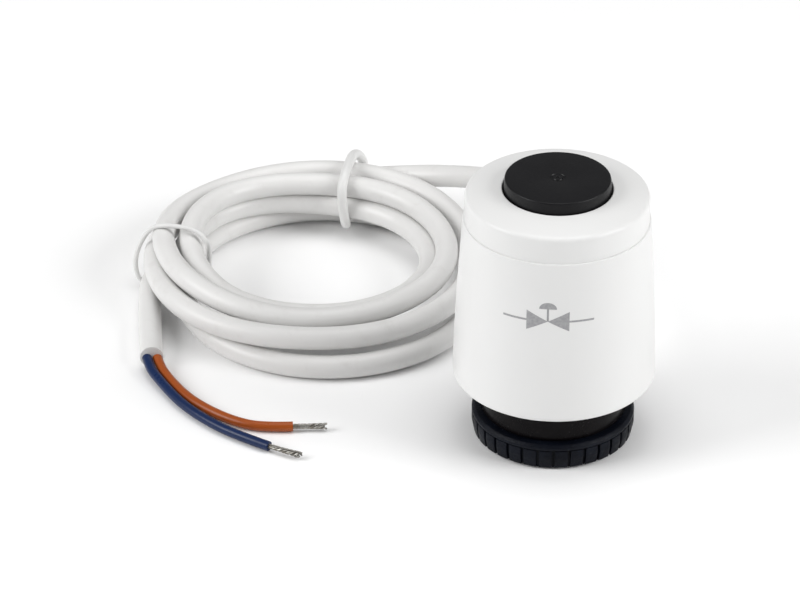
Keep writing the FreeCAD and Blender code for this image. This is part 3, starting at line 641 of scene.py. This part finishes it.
def grip_number(face):
    """The grip block that a face of the nut's rim belongs to, or None."""
    middle = face.calc_center_median()
    upright = face.normal.xy.length > 0.5
    outer = middle.xy.length > 16.1 * MM
    if not (upright and outer and GRIP_LOW * MM < middle.z < GRIP_HIGH * MM):
        return None
    block = math.atan2(middle.y, middle.x) / grip_turn
    return None if block % 1.0 < 1.0 / STEPS_PER_GRIP else math.floor(block)


nut_mesh.normal_update()
blocks = {}
for face in nut_mesh.faces:
    number = grip_number(face)
    if number is not None:
        blocks.setdefault(number, []).append(face)
for faces in blocks.values():
    raised = bmesh.ops.extrude_face_region(nut_mesh, geom=faces)
    for vert in [item for item in raised["geom"] if isinstance(item, bmesh.types.BMVert)]:
        vert.co.xy *= GRIP_REACH / GROOVE_REACH
    bmesh.ops.delete(nut_mesh, geom=faces, context="FACES_ONLY")
bmesh.ops.recalc_face_normals(nut_mesh, faces=nut_mesh.faces[:])
crisp = [edge for edge in nut_mesh.edges
         if edge.is_manifold and edge.calc_face_angle() > math.radians(SHARP_ANGLE)
         and min(vert.co.xy.length for vert in edge.verts) > 16.3 * MM]
bmesh.ops.bevel(nut_mesh, geom=crisp, offset=GRIP_EDGE * MM, offset_type="OFFSET", segments=2, profile=0.5,
                affect="EDGES", material=-1, clamp_overlap=True)

# The thread is one tooth swept up and round, a closed ridge whose root is sunk in the nut's wall
PITCH = 1.5
THREAD_TURNS = 2.2
THREAD_START = 1.05
THREAD_STEPS = 192
turns_of_thread = bmesh.new()
section = [(15.12, -0.70), (14.19, -0.12), (14.19, 0.12), (15.12, 0.70)]
tooth = [turns_of_thread.verts.new((across * MM, 0.0, (up + THREAD_START) * MM)) for across, up in section]
tooth_face = turns_of_thread.faces.new(tooth)
bmesh.ops.spin(turns_of_thread, geom=[tooth_face] + tooth_face.edges[:] + tooth, cent=(0, 0, 0),
               axis=(0, 0, 1), dvec=(0, 0, PITCH * MM * THREAD_TURNS / THREAD_STEPS),
               angle=2.0 * math.pi * THREAD_TURNS, steps=THREAD_STEPS, use_duplicate=False)
bmesh.ops.recalc_face_normals(turns_of_thread, faces=turns_of_thread.faces[:])
thread_data = bpy.data.meshes.new("thread_turns")
turns_of_thread.to_mesh(thread_data)
turns_of_thread.free()
nut_mesh.from_mesh(thread_data)
bpy.data.meshes.remove(thread_data)
nut_black = black_finish("nut_black", colour(0.006, 0.008, 0.014), colour(0.001, 0.0015, 0.004),
                         0.38, 2100.0, 0.00018, 0.11)
finished("grip_nut", nut_mesh, nut_black, "nut", "nut_plastic", "ring_nut")


# ---------------------------------------------------------------------------------------------
# Main spring: the closing spring, wound from hard-drawn steel wire with its end turns closed up.
# It stands between the cage and the retainer ring, so the cage shortens it as it lifts.
# ---------------------------------------------------------------------------------------------
def metal_finish(name, light, dark, roughness, grain):
    """Bare or plated metal with fine tool marks that run round the part."""
    finish = Finish(name, Metallic=1.0)
    marks = finish.noise(grain, 4.0, 0.6, (1.0, 1.0, 12.0))
    stain = finish.noise(160.0, 4.0)
    finish.feed("Base Color", finish.between(finish.ranged(stain, 0.35, 0.7), light, dark))
    finish.feed("Roughness", finish.ranged(marks + stain * 0.5, 0.5, 1.0, roughness - 0.08, roughness + 0.12))
    finish.bump(marks, 0.00002, 0.5)
    return finish.material


SPRING_RADIUS = 15.9 * MM
SPRING_WIRE = 1.9 * MM
END_TURNS = 0.8
OPEN_TURNS = 3.9
CLOSED_PITCH = 1.02
STEPS_PER_TURN = 60
spring_foot, spring_head = [corner[2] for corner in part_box("main_spring")]
end_rise = END_TURNS * SPRING_WIRE * CLOSED_PITCH
open_rise = spring_head - spring_foot - SPRING_WIRE - 2.0 * end_rise
spring_mesh = bmesh.new()
wire_end = bmesh.ops.create_circle(spring_mesh, cap_ends=True, radius=SPRING_WIRE / 2.0, segments=16)["verts"]
bmesh.ops.rotate(spring_mesh, verts=wire_end, cent=(0, 0, 0),
                 matrix=Matrix.Rotation(math.radians(90), 3, "X"))
bmesh.ops.translate(spring_mesh, verts=wire_end, vec=(SPRING_RADIUS, 0.0, spring_foot + SPRING_WIRE / 2.0))
last_ring = spring_mesh.verts[:] + spring_mesh.edges[:] + spring_mesh.faces[:]
for turns, rise in ((END_TURNS, end_rise), (OPEN_TURNS, open_rise), (END_TURNS, end_rise)):
    steps = round(turns * STEPS_PER_TURN)
    last_ring = bmesh.ops.spin(spring_mesh, geom=last_ring, cent=(0, 0, 0), axis=(0, 0, 1),
                               dvec=(0, 0, rise / steps), angle=2.0 * math.pi * turns, steps=steps,
                               use_duplicate=False)["geom_last"]
bmesh.ops.recalc_face_normals(spring_mesh, faces=spring_mesh.faces[:])
spring_wire = metal_finish("spring_wire", colour(0.50, 0.50, 0.51), colour(0.34, 0.34, 0.35), 0.30, 1500.0)
spring = finished("closing_spring", spring_mesh, spring_wire, "head", "spring_steel", "main_spring")
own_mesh(spring)


# ---------------------------------------------------------------------------------------------
# Inner pieces: what the shell, the cap and the socket close over keeps its exact shape and gets
# the finish of what it is made of.
# ---------------------------------------------------------------------------------------------
def cast_finish(name, light, dark, roughness, scale):
    """Pressed, cast or sintered stuff with an uneven matt surface."""
    finish = Finish(name, Specular_IOR_Level=0.4)
    lumps = finish.noise(scale, 5.0, 0.6)
    finish.feed("Base Color", finish.between(finish.ranged(lumps, 0.35, 0.68), light, dark))
    finish.feed("Roughness", finish.ranged(lumps, 0.3, 0.7, roughness - 0.08, roughness + 0.10))
    finish.bump(lumps, 0.00006, 0.6)
    return finish.material


inner_finishes = {
    "black_plastic": black_finish("cage_black", colour(0.026, 0.026, 0.027), colour(0.015, 0.015, 0.016),
                                  0.42, 2400.0, 0.00004, 0.15),
    "holder_plastic": cast_finish("holder_nylon", colour(0.30, 0.28, 0.25), colour(0.22, 0.20, 0.18),
                                  0.50, 700.0),
    "brass": metal_finish("turned_brass", colour(0.80, 0.58, 0.26), colour(0.62, 0.42, 0.18), 0.28, 1200.0),
    "plated_steel": metal_finish("plated_steel", colour(0.66, 0.67, 0.68), colour(0.52, 0.52, 0.52),
                                 0.26, 900.0),
    "heater_ceramic": cast_finish("heater_ceramic", colour(0.24, 0.23, 0.22), colour(0.16, 0.15, 0.15),
                                  0.62, 1400.0),
    "wax": cast_finish("wax_charge", colour(0.86, 0.78, 0.58), colour(0.78, 0.69, 0.48), 0.45, 220.0),
    "seal_rubber": cast_finish("seal_rubber", colour(0.020, 0.020, 0.020), colour(0.012, 0.012, 0.012),
                               0.60, 1800.0),
    "core_blue": core_blue.data.materials[0],
    "core_brown": core_brown.data.materials[0],
}
for entry in frame["record"]["subparts"]:
    node = frame["nodes"][entry["node"]]
    if not node.hide_render:
        node.data.materials.clear()
        node.data.materials.append(inner_finishes[entry["material_slot"]])

# ---------------------------------------------------------------------------------------------
# Table: a wide matt sheet of pale board that everything lies on. It stands a hair lower than the
# pieces, so that their feet don't flicker against it, and it isn't part of the object.
# ---------------------------------------------------------------------------------------------
floor_mesh = bmesh.new()
bmesh.ops.create_grid(floor_mesh, x_segments=1, y_segments=1, size=6.0)
floor_data = bpy.data.meshes.new("table_top")
floor_mesh.to_mesh(floor_data)
floor_mesh.free()
floor = bpy.data.objects.new("table_top", floor_data)
floor.location.z = -0.0001
table_paint = Finish("pale_table", Roughness=0.9, Base_Color=colour(0.97, 0.97, 0.97))
floor.data.materials.append(table_paint.material)
bpy.context.scene.collection.objects.link(floor)
